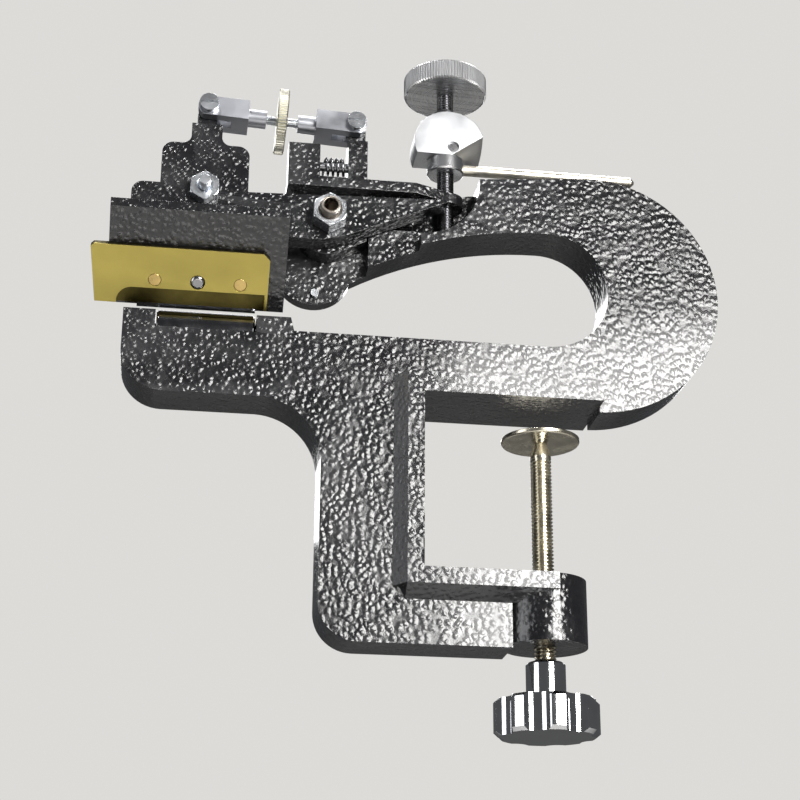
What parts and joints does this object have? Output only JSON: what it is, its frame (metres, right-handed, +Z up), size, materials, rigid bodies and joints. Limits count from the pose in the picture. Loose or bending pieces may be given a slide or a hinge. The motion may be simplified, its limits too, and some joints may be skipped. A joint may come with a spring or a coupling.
{
  "type": "leather splitting machine",
  "caption": "Bench-clamped C-frame machine that pares leather between a hard roller and a slanted razor blade, with fine height, tilt and quick-lever adjustment.",
  "frame": {"origin": "centre of the jaw face that rests on the bench top", "axes": "+Z up, +X along the arm from the blade head towards the bend, -Y towards the user"},
  "size_m": [0.2173, 0.0419, 0.2388],
  "materials": {
    "cast_black": "glossy black hammertone enamel on iron",
    "roller_steel": "dark polished hardened steel",
    "nickel": "warm nickel plate",
    "chrome": "bright chrome plate",
    "zinc_steel": "zinc-plated steel",
    "spring_steel": "oiled spring steel",
    "blade_steel": "ground stainless strip",
    "brass": "satin brushed brass",
    "aluminium": "satin machined metal",
    "dark_steel": "dark turned steel",
    "bright_steel": "bright turned steel"
  },
  "bodies": {
    "frame": {"frame_casting": "cast_black", "roller_axle": "roller_steel", "arm_dowel": "zinc_steel", "pivot_bolt": "zinc_steel", "pivot_nut": "zinc_steel", "cam_block": "bright_steel", "block_screw": "dark_steel"},
    "roller": {"roller": "roller_steel"},
    "pad": {"swivel_pad": "nickel"},
    "clamp_screw": {"clamp_screw": "nickel", "clamp_knob": "chrome"},
    "lift_arm": {"lift_arm": "cast_black", "post_spring": "spring_steel", "spring_pin": "spring_steel", "right_clevis_pin": "zinc_steel"},
    "blade_head": {"blade_holder": "cast_black", "tower_bolt": "zinc_steel", "tower_nut": "zinc_steel", "razor_blade": "blade_steel", "clamp_plate": "brass", "blade_pins": "brass", "plate_stud": "zinc_steel", "stud_nut": "zinc_steel", "left_clevis_pin": "zinc_steel"},
    "left_clevis": {"left_clevis": "aluminium"},
    "right_clevis": {"right_clevis": "aluminium"},
    "wheel": {"turnbuckle_rod": "zinc_steel", "knurled_wheel": "nickel"},
    "spindle": {"thickness_spindle": "dark_steel", "thickness_knob": "bright_steel"},
    "lever": {"lever_collar": "bright_steel", "lever_rod": "bright_steel"}
  },
  "joints": [
    {"name": "roller_spin", "type": "hinge", "parent": "frame", "child": "roller", "pos_m": [-0.1035, 0, 0.0218], "axis": [1, 0, 0], "continuous": true},
    {"name": "clamp_travel", "type": "slide", "parent": "frame", "child": "pad", "axis": [0, 0, 1], "range_m": [-0.044, 0.0045]},
    {"name": "clamp_screw_turn", "type": "hinge", "parent": "pad", "child": "clamp_screw", "pos_m": [0.0115, 0, -0.06], "axis": [0, 0, 1], "range_deg": [-12682, 1306]},
    {"name": "blade_lift", "type": "hinge", "parent": "frame", "child": "lift_arm", "pos_m": [-0.0637, 0, 0.0628], "axis": [0, 1, 0], "range_deg": [0, 5]},
    {"name": "thickness_knob_turn", "type": "hinge", "parent": "frame", "child": "spindle", "pos_m": [-0.021, -0.0005, 0.1], "axis": [0, 0, 1], "range_deg": [-1341, 0]},
    {"name": "blade_tilt", "type": "hinge", "parent": "lift_arm", "child": "blade_head", "pos_m": [-0.0637, 0, 0.0628], "axis": [0, 1, 0], "range_deg": [-0.5, 2.5]},
    {"name": "left_clevis_turn", "type": "hinge", "parent": "blade_head", "child": "left_clevis", "pos_m": [-0.1063, -0.008, 0.1023], "axis": [0, 1, 0], "range_deg": [-1, 1]},
    {"name": "right_clevis_turn", "type": "hinge", "parent": "lift_arm", "child": "right_clevis", "pos_m": [-0.0548, -0.008, 0.0996], "axis": [0, 1, 0], "range_deg": [-2, 4]},
    {"name": "taper_wheel_turn", "type": "hinge", "parent": "right_clevis", "child": "wheel", "pos_m": [-0.08055, -0.008, 0.10095], "axis": [0.9986, 0, -0.0524], "range_deg": [-94, 428]},
    {"name": "quick_lever", "type": "hinge", "parent": "frame", "child": "lever", "pos_m": [-0.021, -0.0005, 0.091], "axis": [0, 0, 1], "range_deg": [-100, 0]}
  ],
  "couplings": [
    {"joint": "clamp_screw_turn", "follows": "clamp_travel", "rad_per_m": 5026.6},
    {"joint": "blade_lift", "follows": "thickness_knob_turn", "ratio": -0.003727},
    {"joint": "left_clevis_turn", "follows": "blade_tilt", "ratio": -0.1269},
    {"joint": "right_clevis_turn", "follows": "blade_tilt", "ratio": 0.8731},
    {"joint": "taper_wheel_turn", "follows": "blade_tilt", "ratio": 167.4}
  ]
}
